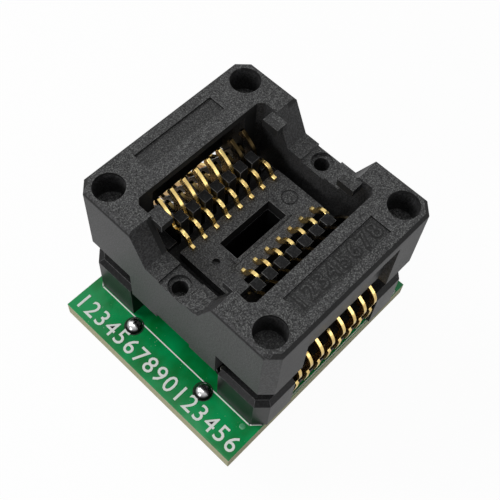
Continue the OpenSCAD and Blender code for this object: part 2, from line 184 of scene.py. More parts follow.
class Graph:
    """The node tree of one material or world."""

    def __init__(self, owner: Union[bpy.types.Material, bpy.types.World]) -> None:
        """Takes over the owner's node tree and empties it.

        Args:
            owner: The material or world.
        """
        owner.use_nodes = True
        self.owner = owner
        self.tree = owner.node_tree
        self.tree.nodes.clear()

    def node(self, kind: str, settings: Optional[dict] = None, *inputs: Input,
             out: Union[int, str] = 0, **named: Input) -> Value:
        """Adds a node of any type.

        Args:
            kind: The node's type.
            settings: Its properties, which are set first.
            *inputs: Values or links of its sockets, in order; None leaves one alone.
            out: The output that is returned.
            **named: Values or links of its sockets by name, with _ for a space.

        Returns:
            The chosen output.
        """
        made = self.tree.nodes.new(kind)
        for key, value in (settings or {}).items():
            setattr(made, key, value)
        for i, value in enumerate(inputs):
            if value is not None:
                self._set(made.inputs[i], value)
        for key, value in named.items():
            self._set(made.inputs[key.replace("_", " ")], value)
        return Value(self, made.outputs[out] if made.outputs else None)

    def _set(self, socket: Any, value: Input) -> None:
        """Links a socket or sets its value.

        Args:
            socket: The input socket.
            value: A linked value, a number, or a colour or vector.
        """
        if isinstance(value, Value):
            self.tree.links.new(value.socket, socket)
        elif isinstance(value, tuple) and socket.type == "RGBA":
            socket.default_value = (*value, 1.0)
        else:
            socket.default_value = value

    def place(self) -> Value:
        """Object coordinates."""
        return self.node("ShaderNodeTexCoord", None, out="Object")

    def normal(self) -> Value:
        """The face's own normal."""
        return self.node("ShaderNodeNewGeometry", None, out="True Normal")

    def ray(self, kind: str) -> Value:
        """One for rays of a kind, such as Camera, and zero for others."""
        return self.node("ShaderNodeLightPath", None, out=f"Is {kind} Ray")

    def axes(self, vector: Value) -> tuple[Value, Value, Value]:
        """The X, Y and Z parts of a vector."""
        split = self.node("ShaderNodeSeparateXYZ", None, vector)
        return tuple(Value(self, part) for part in split.socket.node.outputs)

    def noise(self, scale: float, detail: float = 2.0, rough: float = 0.5,
              at: Optional[Value] = None) -> Value:
        """A noise from 0 to 1, of a scale per metre, read at the object's place if at is None."""
        return self.node("ShaderNodeTexNoise", None, at or self.place(), Scale=scale,
                         Detail=detail, Roughness=rough)

    def mix(self, factor: Input, a: Input, b: Input) -> Value:
        """A mix of two colours, a at factor 0 and b at 1."""
        number_sockets = [None] * 5
        return self.node("ShaderNodeMix", {"data_type": "RGBA"}, factor, *number_sockets, a, b, out=2)

    def bump(self, height: Value, strength: float, distance: float) -> Value:
        """A normal bumped by a height from 0 to 1, which stands for a distance in metres."""
        return self.node("ShaderNodeBump", None, Strength=strength, Distance=distance, Height=height)

    def finish(self, base: Input, roughness: Input, metallic: float = 0.0,
               **more: Input) -> bpy.types.Material:
        """Ends the material in a Principled shader.

        Args:
            base: Base colour.
            roughness: Roughness.
            metallic: Metallic.
            **more: Other sockets by name, with _ for a space.

        Returns:
            The material.
        """
        shader = self.node("ShaderNodeBsdfPrincipled", None, Base_Color=base, Roughness=roughness,
                           Metallic=metallic, **more)
        self.node("ShaderNodeOutputMaterial", None, shader)
        return self.owner


# ---------------------------------------------------------------------------------------------
# Finishes


@dataclass(frozen=True)
class Hollow:
    """Where a moulding's opening, sunk fields and outer rim are, for their painted shade, the rim's painted
    dark reflection and the edges' painted highlight.

    Attributes:
        half: Half length and half width of the opening.
        top: A height just below the open top face.
        near: Down to this far below top, a face counts as near it.
        fields: Half length and half width of what holds the sunk fields.
        highlight_half: Half length and half width inside which the opening's edges get a painted highlight.
        rim: Half length and half width outside which the outer rim lies; no rim by default.
        rim_band: How far below top the rim's painted dark reflection starts, and where it is full.
        wall_shade: Painted shade on the opening's walls.
        ledge_shade: Painted shade on level faces in the opening and the fields.
        rim_dark_reflection: Painted dark reflection on the outer rim.
    """

    half: Pair
    top: float
    near: float = 0.15 * MM
    fields: Pair = (6.3 * MM, 9.2 * MM)
    highlight_half: Pair = (6.75 * MM, 6.1 * MM)
    rim: Pair = (1.0, 1.0)
    rim_band: Pair = (0.4 * MM, 0.05 * MM)
    wall_shade: float = 0.9
    ledge_shade: float = 0.35
    rim_dark_reflection: float = 0.8

    def dark(self, g: Graph, up: Value) -> Value:
        """How much painted shade and painted dark reflection a face gets.

        Args:
            g: The graph.
            up: Height part of the face's normal.

        Returns:
            Painted shade near 1 on the walls of the opening and the fields, less on level faces in them,
            and a painted dark reflection on the outer rim; 0 elsewhere.
        """
        # Painted shade on the walls and ledges of the opening and fields; painted dark reflection on the
        # outer rim.
        x, y, z = g.axes(g.place())
        level = up > LEVEL
        opening = (x.size() < self.half[0]) * (y.size() < self.half[1]) * (z < self.top)
        fields = (x.size() < self.fields[0]) * (y.size() < self.fields[1]) * (z > self.top - self.near)
        walls = opening * (self.wall_shade - level * (self.wall_shade - self.ledge_shade))
        walls = walls + fields * (up < STEEP)
        floors = fields * (z < self.top) * level * self.ledge_shade
        outer = ((x.size() > self.rim[0]) + (y.size() > self.rim[1])).clamped()
        band = z.smooth(self.top - self.rim_band[0], self.top - self.rim_band[1]) * (up < FLAT)
        return (walls + floors + outer * band * self.rim_dark_reflection).clamped()

    def edge_highlight_mask(self, g: Graph) -> Value:
        """Where edges get a painted highlight.

        Args:
            g: The graph.

        Returns:
            1 at the edges of the opening and of the fields, 0 elsewhere.
        """
        # Painted highlight along the edges of the opening and the fields.
        x, y, z = g.axes(g.place())
        beside = ((y.size() < self.highlight_half[1]) + (z > self.top - self.near)).clamped()
        return (x.size() < self.highlight_half[0]) * (y.size() < self.fields[1]) * beside


@dataclass(frozen=True)
class MouldedPlastic:
    """Black moulded plastic with the fine grain of an eroded mould.

    Attributes:
        name: The material's name.
        dark: Colour between the grains.
        light: Colour of the grains.
        grain: Grains per metre.
        roughness: Middle roughness.
        relief: Strength of the grain's bump.
        fleck: How strong the light flecks on level faces are.
        fleck_tone: Their colour.
        specular: Strength of the reflection.
        matt_top: How much rougher level faces are.
        edge_highlight: How strongly the edges get a painted highlight.
        hollow: The moulding's opening and rim, for painted shade and painted edge highlights, or None.
    """

    name: str
    dark: Colour
    light: Colour
    grain: float = 7200.0
    roughness: float = 0.5
    relief: float = 0.5
    fleck: float = 0.0
    fleck_tone: Colour = (0.15, 0.154, 0.15)
    specular: float = 0.3
    matt_top: float = 0.0
    edge_highlight: float = 0.0
    hollow: Optional[Hollow] = None

    def make(self) -> bpy.types.Material:
        """Builds the material: speckled grain, broad cloudiness, painted shade and a painted edge highlight.

        Returns:
            The material.
        """
        g = Graph(bpy.data.materials.new(self.name))
        fine = g.noise(self.grain, 3.0, 0.7)
        coarse = g.noise(self.grain / 5, 2.0, 0.6)
        cloud = g.noise(350.0, 3.0)
        speck = fine.smooth(0.38, 0.66)
        tone = (speck * 0.95 + coarse * 0.2 + (cloud - 0.5) * 0.4).clamped()
        up = g.axes(g.normal())[2]
        level = up > LEVEL
        flecks = g.noise(self.grain * 1.35, 1.0).smooth(0.52, 0.66) * level * self.fleck
        colour = g.mix(flecks, g.mix(tone, self.dark, self.light), self.fleck_tone)
        rough = self.roughness + (fine - 0.5) * 0.22 + (cloud - 0.5) * 0.12 + level * self.matt_top
        if self.hollow:
            # Painted shade: the opening, the sunk fields and the outer rim are darkened towards black.
            painted_dim = self.hollow.dark(g, up)
            colour = g.mix(painted_dim, colour, (0.002, 0.002, 0.002))
            rough = rough + painted_dim * 0.25
            if self.edge_highlight:
                # Painted highlight: a lighter grain on the edges of the opening and the fields.
                bright = g.mix(speck, (0.1, 0.1, 0.1), (0.28, 0.28, 0.282))
                colour = g.mix(self.hollow.edge_highlight_mask(g) * self.edge_highlight, colour, bright)
        normal = g.bump(fine * 0.7 + coarse * 0.5, self.relief, 0.03 * MM)
        return g.finish(colour, rough, Normal=normal, Specular_IOR_Level=self.specular)


@dataclass(frozen=True)
class GoldPlate:
    """Gold-plated stamped strip: bright plating, with painted shade where it sits deep in the socket and on
    faces turned to the sides.

    Attributes:
        name: The material's name.
        nest_z: Height of the nest plate's top.
        colour: The plating.
        shade: Its brown tone in clouds, also the colour of the painted shade on faces turned to the sides.
        dull: The painted shade colour deep in the socket.
        window: Distances from the middle over which the strip comes out of the side windows.
        right_posts: Distances over which the right row goes behind its posts, into painted shade.
        low_posts: Distances over which a low stretch goes between the posts, into painted shade.
        low: Heights above the nest's top over which the painted shade of a low stretch ends.
        far_posts: Distances over which the far end's strips go under the rail, into painted shade.
        far: Places along the row over which the far end's painted shade begins.
    """

    name: str
    nest_z: float
    colour: Colour = (1.0, 0.76, 0.3)
    shade: Colour = (0.46, 0.23, 0.06)
    dull: Colour = (0.016, 0.01, 0.005)
    window: Pair = (7.9 * MM, 8.3 * MM)
    right_posts: Pair = (3.4 * MM, 3.65 * MM)
    low_posts: Pair = (3.4 * MM, 3.6 * MM)
    low: Pair = (0.3 * MM, 1.3 * MM)
    far_posts: Pair = (3.5 * MM, 3.9 * MM)
    far: Pair = (1.9 * MM, 3.3 * MM)

    def make(self) -> bpy.types.Material:
        """Builds the material: fine drawn lines, tone changes, painted side shade on faces turned to X, and
        painted shade deep in the socket.

        Returns:
            The material.
        """
        g = Graph(bpy.data.materials.new(self.name))
        stretched = g.node("ShaderNodeMapping", None, g.place(), Scale=(6.0, 1.0, 1.0))
        lines = g.noise(5200.0, 3.0, 0.6, stretched)
        cloud = g.noise(1400.0, 2.0)
        # Painted side shade: faces turned to X get browner, more so outside the side windows.
        side_shade = g.axes(g.normal())[0].size().smooth(0.6, 0.9)
        outside = g.axes(g.place())[1].size().smooth(*self.window)
        tone = cloud.smooth(0.4, 0.68) * 0.34 + lines * 0.12 + side_shade * (0.25 + outside * 0.4)
        colour = g.mix(tone.clamped(), self.colour, self.shade)
        # Painted shade: near black behind the posts, on low stretches and at the far end.
        colour = g.mix(self._painted_shade(g) * 0.97, colour, self.dull)
        rough = 0.15 + lines * 0.14 + cloud * 0.06
        return g.finish(colour, rough, 1.0, Normal=g.bump(lines, 0.25, 0.01 * MM))

    def _painted_shade(self, g: Graph) -> Value:
        """How much painted shade a point gets deep in the socket.

        Args:
            g: The graph.

        Returns:
            0 on the open fingers, hooks, springs and plates, 1 (full painted shade) behind the posts and
            under the rails.
        """
        x, y, z = g.axes(g.place())
        out = y.size()
        inside = out.smooth(self.window[1], self.window[0])
        right = (y < 0.0) * out.smooth(*self.right_posts)
        low = z.smooth(self.nest_z + self.low[1], self.nest_z + self.low[0]) * out.smooth(*self.low_posts)
        corner = x.smooth(*self.far) * out.smooth(*self.far_posts)
        return inside * (right + low + corner).clamped()


@dataclass(frozen=True)
class BrightMetal:
    """Tin, solder or spring steel.

    Attributes:
        name: The material's name.
        colour: The metal.
        roughness: Middle roughness.
        grain: Clouds per metre.
        painted_dark_foot_z: Height that a painted dark reflection at the foot stands on, or None.
        foot: Heights above painted_dark_foot_z over which the painted dark reflection ends.
    """

    name: str
    colour: Colour
    roughness: float
    grain: float = 2600.0
    painted_dark_foot_z: Optional[float] = None
    foot: Pair = (0.25 * MM, 0.6 * MM)

    def make(self) -> bpy.types.Material:
        """Builds the material: soft uneven brightness with a fine ripple, and a painted dark reflection at
        the foot.

        Returns:
            The material.
        """
        g = Graph(bpy.data.materials.new(self.name))
        cloud = g.noise(self.grain, 3.0, 0.6)
        fine = g.noise(self.grain * 6, 2.0)
        dull = tuple(part * 0.72 for part in self.colour)
        colour = g.mix(cloud.smooth(0.4, 0.75), self.colour, dull)
        if self.painted_dark_foot_z is not None:
            # Painted dark reflection: darker towards the foot on the board.
            height = g.axes(g.place())[2]
            dark = height.smooth(self.painted_dark_foot_z + self.foot[1], self.painted_dark_foot_z + self.foot[0])
            colour = g.mix(dark, colour, (0.012, 0.012, 0.012))
        rough = self.roughness + (cloud - 0.5) * 0.16 + (fine - 0.5) * 0.06
        return g.finish(colour, rough, 1.0, Normal=g.bump(cloud * 0.6 + fine * 0.3, 0.15, 0.02 * MM))


@dataclass(frozen=True)
class LegendPaint:
    """White legend paint, with slight wear.

    Attributes:
        name: The material's name.
        colour: The paint.
        thin_colour: The paint where the mask shows through.
    """

    name: str
    colour: Colour = (0.78, 0.82, 0.78)
    thin_colour: Colour = (0.42, 0.6, 0.48)

    def make(self) -> bpy.types.Material:
        """Builds the material: off-white with thin spots.

        Returns:
            The material.
        """
        g = Graph(bpy.data.materials.new(self.name))
        thin = g.noise(4200.0, 4.0, 0.65)
        colour = g.mix(thin.smooth(0.62, 0.8), self.colour, self.thin_colour)
        return g.finish(colour, 0.55 + thin * 0.15, Normal=g.bump(thin, 0.3, 0.01 * MM))


@dataclass(frozen=True)
class BoardLaminate:
    """Green solder mask over a glass laminate whose cut edge is bare.

    Attributes:
        name: The material's name.
        top: Height of the board's upper face.
        bottom: Height of its lower face.
        mask: The solder mask.
        deep: The solder mask where it is thick.
        dust: Light specks on the mask.
        ply: The laminate.
        seam: The laminate between its plies.
        film: Depth that the mask covers at the edge.
    """

    name: str
    top: float
    bottom: float
    mask: Colour = (0.0, 0.31, 0.085)
    deep: Colour = (0.0, 0.17, 0.03)
    dust: Colour = (0.32, 0.52, 0.4)
    ply: Colour = (0.44, 0.4, 0.26)
    seam: Colour = (0.24, 0.25, 0.13)
    film: float = 0.04 * MM

    def make(self) -> bpy.types.Material:
        """Builds the material: mask on both faces, layered tan laminate between them.

        Returns:
            The material.
        """
        g = Graph(bpy.data.materials.new(self.name))
        z = g.axes(g.place())[2]
        skin = ((z > self.top - self.film) + (z < self.bottom + self.film)).clamped()
        cloud = g.noise(260.0, 3.0, 0.6)
        specks = g.noise(3600.0, 2.0, 0.8)
        mask = g.mix(cloud.smooth(0.35, 0.7), self.mask, self.deep)
        mask = g.mix(specks.smooth(0.69, 0.77) * 0.6, mask, self.dust)
        plies = g.node("ShaderNodeTexWave", {"bands_direction": "Z"}, g.place(), Scale=900.0, Distortion=1.5)
        fibre = g.noise(5200.0, 3.0)
        laminate = g.mix(plies * 0.5 + fibre * 0.4, self.ply, self.seam)
        rough = 0.7 - skin * 0.46 + (cloud - 0.5) * 0.08
        normal = g.bump(cloud * 0.7 + specks * 0.2, 0.12, 0.03 * MM)
        return g.finish(g.mix(skin, laminate, mask), rough, Normal=normal, Coat_Weight=skin * 0.2,
                        Specular_IOR_Level=0.3)


@dataclass(frozen=True)
class Finishes:
    """All materials of the object."""

    cover: bpy.types.Material
    # Cover plastic with a painted edge highlight, for rounded edges.
    edge: bpy.types.Material
    base: bpy.types.Material
    nest: bpy.types.Material
    strip: bpy.types.Material
    board: bpy.types.Material
    dot: bpy.types.Material
    legend: bpy.types.Material
    gold: bpy.types.Material
    tin: bpy.types.Material
    solder: bpy.types.Material
    steel: bpy.types.Material
    # Near-black plastic for painted shadows and painted dark reflections.
    shade_black: bpy.types.Material

    @staticmethod
    def build() -> "Finishes":
        """Makes every finish once.

        Returns:
            The finishes.
        """
        low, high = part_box("board")
        nest_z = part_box("nest_plate")[1].z
        below = 0.1 * MM
        # The cover's opening, fields and rim: painted shade, painted dark reflection and painted edge
        # highlights.
        opening = Hollow((6.52 * MM, 5.77 * MM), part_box("cover")[1].z - below, rim=(8.1 * MM, 9.1 * MM))
        cover = MouldedPlastic("cover_black", (0.003, 0.003, 0.003), (0.062, 0.062, 0.064),
                               fleck=0.85, hollow=opening)
        base = MouldedPlastic("base_black", (0.002, 0.002, 0.002), (0.012, 0.012, 0.013), grain=6000.0,
                              roughness=0.34, relief=0.3, fleck=0.12, specular=0.16, matt_top=0.3)
        # The nest plate's hole gets painted shade.
        nest = MouldedPlastic("nest_black", (0.002, 0.002, 0.002), (0.06, 0.06, 0.062), fleck=0.75,
                              hollow=Hollow((3.2 * MM, 0.95 * MM), nest_z - below))
        strip = MouldedPlastic("strip_black", (0.008, 0.008, 0.008), (0.03, 0.03, 0.03), grain=5000.0,
                               roughness=0.42, relief=0.3)
        # Painted shade: near-black plastic for the rings round the solder beads and the shadows round the
        # rail's numbers.
        shade_black = MouldedPlastic("painted_shade_black", (0.004, 0.004, 0.004), (0.016, 0.016, 0.016), grain=7000.0,
                             roughness=0.36, relief=0.2)
        board = BoardLaminate("board_green", high.z, low.z)
        dot = replace(board, name="dot_green", mask=(0.1, 0.38, 0.2), deep=(0.05, 0.28, 0.12))
        return Finishes(
            cover=cover.make(),
            # Painted highlight: the cover's plastic with its edges lightened, for rounded edges.
            edge=replace(cover, name="cover_edge", edge_highlight=0.85).make(),
            base=base.make(),
            nest=nest.make(),
            strip=strip.make(),
            board=board.make(),
            dot=dot.make(),
            legend=LegendPaint("legend_white").make(),
            gold=GoldPlate("gold", nest_z).make(),
            tin=BrightMetal("pin_tin", (0.82, 0.79, 0.7), 0.24).make(),
            solder=BrightMetal("solder", (0.86, 0.86, 0.87), 0.2, painted_dark_foot_z=high.z).make(),
            steel=BrightMetal("spring_steel", (0.3, 0.3, 0.32), 0.36).make(),
            shade_black=shade_black.make(),
        )


# ---------------------------------------------------------------------------------------------
# Pieces


@dataclass(frozen=True)
class Rounding:
    """How a piece's outer edges are rounded.

    Attributes:
        width: The bevel's full width.
        fine: Faces narrower than this get a smaller radius.
        edge_highlight: A lighter material that paints a highlight on the rounded edges, or None.
        segments: The bevel's segments.
        window: Half sizes of the part's opening, whose edges get a smaller radius.
        angle: Edges above this angle, in degrees, are rounded.
        short: Edges shorter than this share of fine get the smallest radius.
        short_weight: Share of the width that short edges get.
        window_weight: Share that the opening's edges get.
        outer_weight: Share that all others get.
    """

    width: float
    fine: float
    edge_highlight: Optional[bpy.types.Material] = None
    segments: int = 2
    window: Pair = (0.0, 0.0)
    angle: float = 28.0
    short: float = 0.6
    short_weight: float = 0.065
    window_weight: float = 0.19
    outer_weight: float = 0.75

    def weight(self, edge: bmesh.types.BMEdge) -> float:
        """Share of the width that an edge gets.

        Args:
            edge: The edge.

        Returns:
            The share, from 0 to 1.
        """
        length = edge.calc_length()
        narrow = min(face.calc_area() for face in edge.link_faces) / length
        middle = (edge.verts[0].co + edge.verts[1].co) / 2
        share = self.outer_weight
        if length < self.short * self.fine:
            share = self.short_weight
        elif abs(middle.x) < self.window[0] and abs(middle.y) < self.window[1]:
            share = self.window_weight
        return min(1.0, narrow / self.fine) * share


def sharp_edges(bm: bmesh.types.BMesh, angle: float) -> list[bmesh.types.BMEdge]:
    """Edges of a mesh whose faces meet at more than an angle, in degrees."""
    limit = math.radians(angle)
    return [e for e in bm.edges if len(e.link_faces) == 2 and e.calc_face_angle(0.0) > limit]


@dataclass
class Workshop:
    """Turns bmeshes and CAD nodes into finished pieces.

    Attributes:
        finishes: All materials.
        count: How many pieces are finished.
        merge: Points of a CAD mesh that are nearer than this are one.
        flat: Faces that meet at less than this angle, in degrees, are joined.
        smooth: Edges above this angle, in degrees, stay sharp.
    """

    finishes: Finishes
    count: int = 0
    merge: float = 0.0008 * MM
    flat: float = 0.4
    smooth: float = 35.0

    def copy_node(self, node: str) -> bmesh.types.BMesh:
        """A CAD node's mesh as a clean bmesh: merged, with flat faces joined.

        Args:
            node: The node's name.

        Returns:
            The bmesh.
        """
        bm = bmesh.new()
        bm.from_mesh(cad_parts[node].data)
        bmesh.ops.remove_doubles(bm, verts=bm.verts, dist=self.merge)
        bmesh.ops.dissolve_limit(bm, angle_limit=math.radians(self.flat), use_dissolve_boundaries=False,
                                 verts=bm.verts, edges=bm.edges)
        return bm

    def finish(self, bm: bmesh.types.BMesh, name: str, material: bpy.types.Material, slot: str,
               body: Optional[Body], nodes: Iterable[str] = (),
               smooth: Optional[float] = None) -> bpy.types.Object:
        """Makes a piece of a bmesh.

        Args:
            bm: The mesh, which is freed.
            name: The piece's name.
            material: Its material.
            slot: The record's slot that the finish is of; not used.
            body: The body that it rides on, or None.
            nodes: The CAD nodes that it stands for.
            smooth: Edges above this angle, in degrees, stay sharp; the workshop's own if None.

        Returns:
            The piece.
        """
        mesh = bpy.data.meshes.new(name)
        bm.to_mesh(mesh)
        bm.free()
        mesh.shade_smooth()
        mesh.set_sharp_from_angle(angle=math.radians(smooth or self.smooth))
        piece = bpy.data.objects.new(name, mesh)
        bpy.context.scene.collection.objects.link(piece)
        mesh.materials.append(material)
        if body is not None:
            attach(piece, body.value)
        if nodes:
            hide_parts(*nodes)
        self.count += 1
        LOG.info("piece %-24s %6d faces", name, len(mesh.polygons))
        return piece

    def dress(self, node: str, kind: str, material: bpy.types.Material, slot: str, body: Body,
              rounding: Optional[Rounding] = None, smooth: Optional[float] = None) -> None:
        """Makes a piece of a CAD node, which it stands for.

        Args:
            node: The node's name.
            kind: What the piece's name adds to it.
            material: Its material.
            slot: The record's slot.
            body: The body that it rides on.
            rounding: How its outer edges are rounded, or None.
            smooth: Edges above this angle, in degrees, stay sharp; the workshop's own if None.
        """
        bm = self.copy_node(node)
        if rounding is not None:
            self._mark_outer_edges(bm, rounding)
        piece = self.finish(bm, f"{node}_{kind}", material, slot, body, [node], smooth)
        if rounding is not None:
            self._round_marked_edges(piece, rounding)

    def _mark_outer_edges(self, bm: bmesh.types.BMesh, rounding: Rounding) -> None:
        """Marks the edges that stick out for rounding, and leaves the inner corners crisp.

        Args:
            bm: The mesh.
            rounding: How they are rounded.
        """
        layer = bm.edges.layers.float.new("bevel_weight_edge")
        for edge in sharp_edges(bm, rounding.angle):
            if edge.is_convex:
                edge[layer] = rounding.weight(edge)

    def _round_marked_edges(self, piece: bpy.types.Object, rounding: Rounding) -> None:
        """Rounds a piece's marked edges with a Bevel modifier.

        Args:
            piece: The piece.
            rounding: How they are rounded.
        """
        bevel = piece.modifiers.new("edge_rounding", "BEVEL")
        bevel.width = rounding.width
        bevel.segments = rounding.segments
        bevel.limit_method = "WEIGHT"
        bevel.use_clamp_overlap = True
        bevel.harden_normals = True
        bevel.miter_outer = "MITER_ARC"
        # Painted highlight: the rounded edges take the lighter edge material.
        if rounding.edge_highlight is not None:
            piece.data.materials.append(rounding.edge_highlight)
            bevel.material = 1


@dataclass
class Mouldings:
    """Cover, base, nest plate and locator plate.

    Attributes:
        shop: The workshop.
        cover_edge: Full width of the cover's edge rounding.
        base_edge: Full width of the base's.
        plate_edge: Full width of the two plates'.
        fine: Faces narrower than this get a smaller radius.
        window: Half sizes of the cover's opening, whose edges get a smaller radius.
    """

    shop: Workshop
    cover_edge: float = 0.27 * MM
    base_edge: float = 0.035 * MM
    plate_edge: float = 0.03 * MM
    fine: float = 0.6 * MM
    window: Pair = (5.9 * MM, 6.0 * MM)

    def build(self) -> None:
        """Dresses the four mouldings."""
        f = self.shop.finishes
        # The cover's rounded edges get a painted highlight.
        soft = Rounding(self.cover_edge, self.fine, f.edge, 3, self.window)
        self.shop.dress("cover", "moulding", f.cover, "cover_black", Body.COVER, soft)
        for node, material, width in (
            ("base", f.base, self.base_edge),
            ("nest_plate", f.nest, self.plate_edge),
            ("locator_plate", f.base, self.plate_edge),
        ):
            # The base's and plates' rounded edges get the same painted highlight.
            crisp = Rounding(width, self.fine, f.edge)
            self.shop.dress(node, "moulding", material, "base_black", Body.ADAPTER, crisp)


@dataclass
class Contacts:
    """The sixteen stamped contacts, each one piece from foot to tail.

    Attributes:
        shop: The workshop.
        per_row: Contacts in a row.
        side_gap: Room that a contact's spring may take beside its head.
        join: Faces nearer than this are welded.
        sheared_angle: Edges above this angle, in degrees, are broken.
        sheared_edge: Width of the broken edges.
        neck: A distance below the head; a height is computed from it but not used.
    """

    shop: Workshop
    per_row: int = 8
    side_gap: float = 0.05 * MM
    join: float = 0.004 * MM
    sheared_angle: float = 50.0
    sheared_edge: float = 0.02 * MM
    neck: float = 0.1 * MM

    def build(self) -> None:
        """Builds both rows."""
        for side in Side:
            springs = self.shop.copy_node(f"contact_springs_{side.word}")
            for k in range(1, self.per_row + 1):
                self._contact(side, k, springs)
            springs.free()

    def _contact(self, side: Side, k: int, springs: bmesh.types.BMesh) -> None:
        """Joins plate, spring and head of one contact.

        Args:
            side: The row.
            k: Its place in the row, from 1.
            springs: The row's springs.
        """
        plate = f"contact_{side.word}_{k}"
        head = f"head_{side.word}_{k}"
        low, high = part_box(head)
        middle = (low.x + high.x) / 2
        half = (high.x - low.x) / 2 + self.side_gap
        bm = springs.copy()
        away = [v for v in bm.verts if abs(v.co.x - middle) > half]
        bmesh.ops.delete(bm, geom=away, context="VERTS")
        for node in (plate, head):
            self._add(bm, node)
        self._weld(bm)
        bmesh.ops.bevel(bm, geom=sharp_edges(bm, self.sheared_angle), offset=self.sheared_edge, segments=1,
                        profile=0.5, affect="EDGES", material=-1, clamp_overlap=True)
        piece = self.shop.finish(bm, f"stamped_contact_{side.word}_{k}", self.shop.finishes.gold, "gold",
                                 None, [plate, head])
        low.z - self.neck
        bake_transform(piece)
        if k == 1:
            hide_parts(f"contact_springs_{side.word}")

    def _add(self, bm: bmesh.types.BMesh, node: str) -> None:
        """Adds a copy of a CAD node to a mesh.

        Args:
            bm: The mesh.
            node: The node's name.
        """
        part = self.shop.copy_node(node)
        mesh = bpy.data.meshes.new("part")
        part.to_mesh(mesh)
        part.free()
        bm.from_mesh(mesh)
        bpy.data.meshes.remove(mesh)

    def _weld(self, bm: bmesh.types.BMesh) -> None:
        """Welds touching faces and takes out the walls between them.

        Args:
            bm: The contact's mesh.
        """
        bmesh.ops.remove_doubles(bm, verts=bm.verts, dist=self.join)
        seen: dict[frozenset, bmesh.types.BMFace] = {}
        doubled = []
        for face in bm.faces:
            key = frozenset(v.index for v in face.verts)
            if key in seen:
                doubled += [face, seen[key]]
            seen[key] = face
        bmesh.ops.delete(bm, geom=doubled, context="FACES_ONLY")
        bmesh.ops.recalc_face_normals(bm, faces=bm.faces)


@dataclass
class ReturnSprings:
    """The coil springs that push the cover up.

    Attributes:
        shop: The workshop.
        count: Springs.
        turns: Turns of each.
        steps_per_turn: Faces along one turn.
        wire: Diameter of the wire.
        wire_sides: Faces round the wire.
        stroke: How far the cover presses them together; a share is computed from it but not used.
    """

    shop: Workshop
    count: int = 4
    turns: int = 7
    steps_per_turn: int = 28
    wire: float = 0.3 * MM
    wire_sides: int = 10
    stroke: float = 2.2 * MM

    def build(self) -> None:
        """Builds the springs."""
        for i in range(1, self.count + 1):
            self._spring(f"return_spring_{i}")

    def _spring(self, node: str) -> None:
        """Winds one spring in its CAD node's box.

        Args:
            node: The node's name.
        """
        low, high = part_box(node)
        full = high.z - low.z
        centre = Vector(((low.x + high.x) / 2, (low.y + high.y) / 2, 0.0))
        radius = (high.x - low.x) / 2 - self.wire / 2
        start = Matrix.Translation((centre.x + radius, centre.y, low.z + self.wire / 2))
        bm = bmesh.new()
        ring = bmesh.ops.create_circle(bm, cap_ends=False, segments=self.wire_sides, radius=self.wire / 2,
                                       matrix=start @ Matrix.Rotation(math.pi / 2, 4, "X"))
        bmesh.ops.contextual_create(bm, geom=ring["verts"])
        steps = self.turns * self.steps_per_turn
        bmesh.ops.spin(bm, geom=bm.faces[:], cent=centre, axis=(0, 0, 1),
                       dvec=(0, 0, (full - self.wire) / steps), angle=self.turns * 2 * math.pi, steps=steps,
                       use_merge=False, use_duplicate=False)
        bmesh.ops.recalc_face_normals(bm, faces=bm.faces)
        piece = self.shop.finish(bm, node + "_coil", self.shop.finishes.steel, "spring_steel",
                                 Body.ADAPTER, [node])
        (full - self.stroke) / full
        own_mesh(piece)


@dataclass
class Numbers:
    """Plain numbers of one kind, each a thin solid piece.

    Attributes:
        shop: The workshop.
        material: Their material.
        slot: The record's slot.
        body: The body that they ride on.
        height: Height of a digit.
        relief: Half of its thickness.
        widen: How far the outline is spread, in parts of the font's size.
        digit_share: Height of a digit, in parts of the font's size.
        thickness: Half thickness that a digit gets before it is scaled to its relief.
        curve_steps: Steps of each curve of the outline.
        merge: Points nearer than this are one.
        smooth: Edges above this angle, in degrees, stay sharp.
    """

    shop: Workshop
    material: bpy.types.Material
    slot: str
    body: Body
    height: float
    relief: float
    widen: float
    digit_share: float = 0.72
    thickness: float = 0.02
    curve_steps: int = 3
    merge: float = 0.002 * MM
    smooth: float = 30.0

    def make(self, text: str, name: str, place: Matrix) -> None:
        """Makes one number.

        Args:
            text: The digits.
            name: The piece's name.
            place: Where its centre goes, with its turn.
        """
        scale = self.height / self.digit_share
        size = Matrix.Diagonal((scale, scale, self.relief / self.thickness, 1.0))
        bm = self._outline(text, name + "_curve")
        bmesh.ops.transform(bm, matrix=place @ size, verts=bm.verts)
        bmesh.ops.remove_doubles(bm, verts=bm.verts, dist=self.merge)
        bmesh.ops.recalc_face_normals(bm, faces=bm.faces)
        self.shop.finish(bm, name, self.material, self.slot, self.body, smooth=self.smooth)

    def _outline(self, text: str, name: str) -> bmesh.types.BMesh:
        """Makes a thick text about the origin.

        Args:
            text: The digits.
            name: Name of the text object, which is removed again.

        Returns:
            Its mesh.
        """
        curve = bpy.data.curves.new(name, "FONT")
        curve.body = text
        curve.align_x = "CENTER"
        curve.align_y = "CENTER"
        curve.extrude = self.thickness
        curve.offset = self.widen
        curve.resolution_u = self.curve_steps
        flat = bpy.data.objects.new(name, curve)
        bpy.context.scene.collection.objects.link(flat)
        bpy.context.view_layer.update()
        bm = bmesh.new()
        bm.from_mesh(flat.to_mesh())
        flat.to_mesh_clear()
        bpy.data.objects.remove(flat)
        bpy.data.curves.remove(curve)
        return bm


